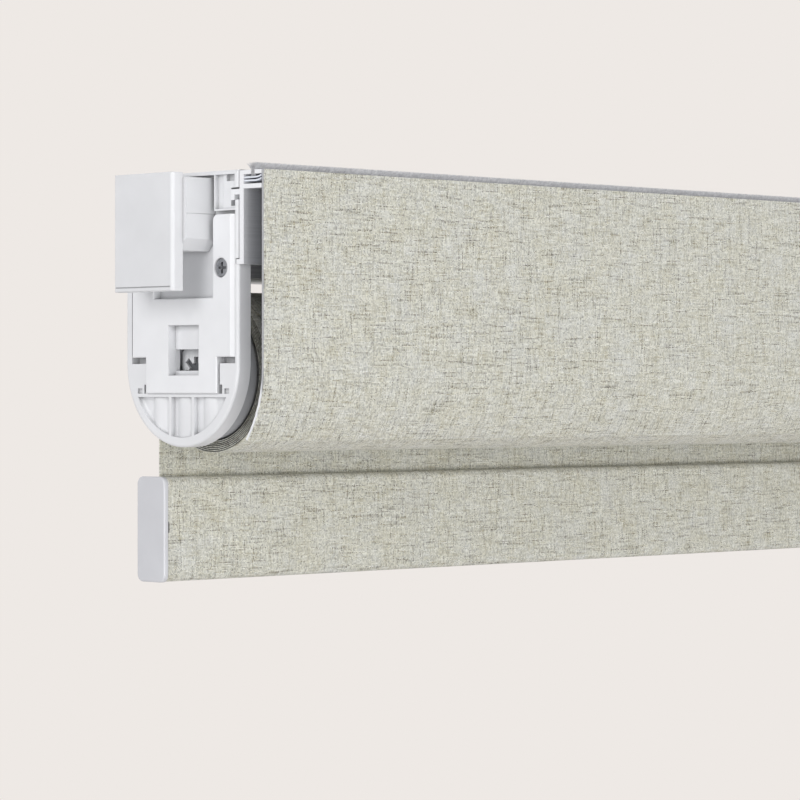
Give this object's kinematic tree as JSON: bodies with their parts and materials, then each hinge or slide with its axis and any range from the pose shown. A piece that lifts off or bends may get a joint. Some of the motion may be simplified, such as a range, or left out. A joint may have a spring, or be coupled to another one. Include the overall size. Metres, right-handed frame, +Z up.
{
  "type": "roller shade",
  "caption": "Spring-assisted roller shade in a cloth-covered cassette, with end brackets, telescoping side mounts and a wrapped hem bar.",
  "frame": {"origin": "middle of the mounting face on top of the head rail, above the roller's axis", "axes": "+X along the shade from its left to its right end as seen from the room, +Y towards the wall, +Z up"},
  "size_m": [0.6308, 0.076, 0.1414],
  "materials": {
    "white_plastic": "satin moulded",
    "light_grey_plastic": "satin moulded",
    "grey_plastic": "matte",
    "dark_plastic": "matte",
    "rail_aluminium": "satin anodised",
    "screw_steel": "zinc plated",
    "spring_steel": "drawn",
    "grey_pile": "dense pile",
    "linen_cloth": "slubbed linen weave"
  },
  "bodies": {
    "housing": {"bracket_left": "white_plastic", "bracket_right": "white_plastic", "lock_plate_left": "white_plastic", "lock_plate_right": "white_plastic", "rail_screws": "screw_steel", "head_rail": "rail_aluminium", "guide_sleeve_left": "white_plastic", "guide_sleeve_right": "white_plastic", "lock_screws": "screw_steel", "fascia_profile": "rail_aluminium", "fascia_cloth": "linen_cloth", "pile_backing": "grey_plastic", "pile_strip": "grey_pile", "star_seat": "grey_plastic", "pin_seat": "grey_plastic", "spring_shaft": "dark_plastic", "spring_anchor": "dark_plastic"},
    "roller": {"roller_tube": "rail_aluminium", "cloth_spline": "grey_plastic", "fabric_roll": "linen_cloth", "winding_plug": "dark_plastic", "idle_plug": "dark_plastic", "winding_bush": "white_plastic", "idle_bush": "white_plastic", "torsion_spring": "spring_steel"},
    "idle_pin": {"idle_pin": "screw_steel", "pin_spring": "spring_steel"},
    "hem": {"hem_bar": "rail_aluminium", "hem_cloth": "linen_cloth", "hem_spline": "grey_plastic", "hem_cap_left": "light_grey_plastic", "hem_cap_right": "light_grey_plastic", "hanging_cloth": "linen_cloth"},
    "side_mount_left": {"side_block_left": "white_plastic", "mount_plate_left": "white_plastic"},
    "side_mount_right": {"side_block_right": "white_plastic", "mount_plate_right": "white_plastic"}
  },
  "joints": [
    {"name": "roller_turn", "type": "hinge", "parent": "housing", "child": "roller", "pos_m": [0, 0, -0.0674], "axis": [-1, 0, 0], "range_deg": [0, 2744]},
    {"name": "hem_lift", "type": "slide", "parent": "housing", "child": "hem", "axis": [0, 0, -1], "range_m": [0, 1.2], "deforming": ["hanging_cloth"]},
    {"name": "pin_push", "type": "slide", "parent": "roller", "child": "idle_pin", "axis": [-1, 0, 0], "range_m": [0, 0.005], "stiffness_N_per_m": 400, "springref_m": -0.005, "deforming": ["pin_spring"]},
    {"name": "side_slide_left", "type": "slide", "parent": "housing", "child": "side_mount_left", "axis": [-1, 0, 0], "range_m": [0, 0.01]},
    {"name": "side_slide_right", "type": "slide", "parent": "housing", "child": "side_mount_right", "axis": [1, 0, 0], "range_m": [0, 0.01]}
  ],
  "couplings": [
    {"joint": "hem_lift", "follows": "roller_turn", "m_per_rad": 0.02505}
  ]
}
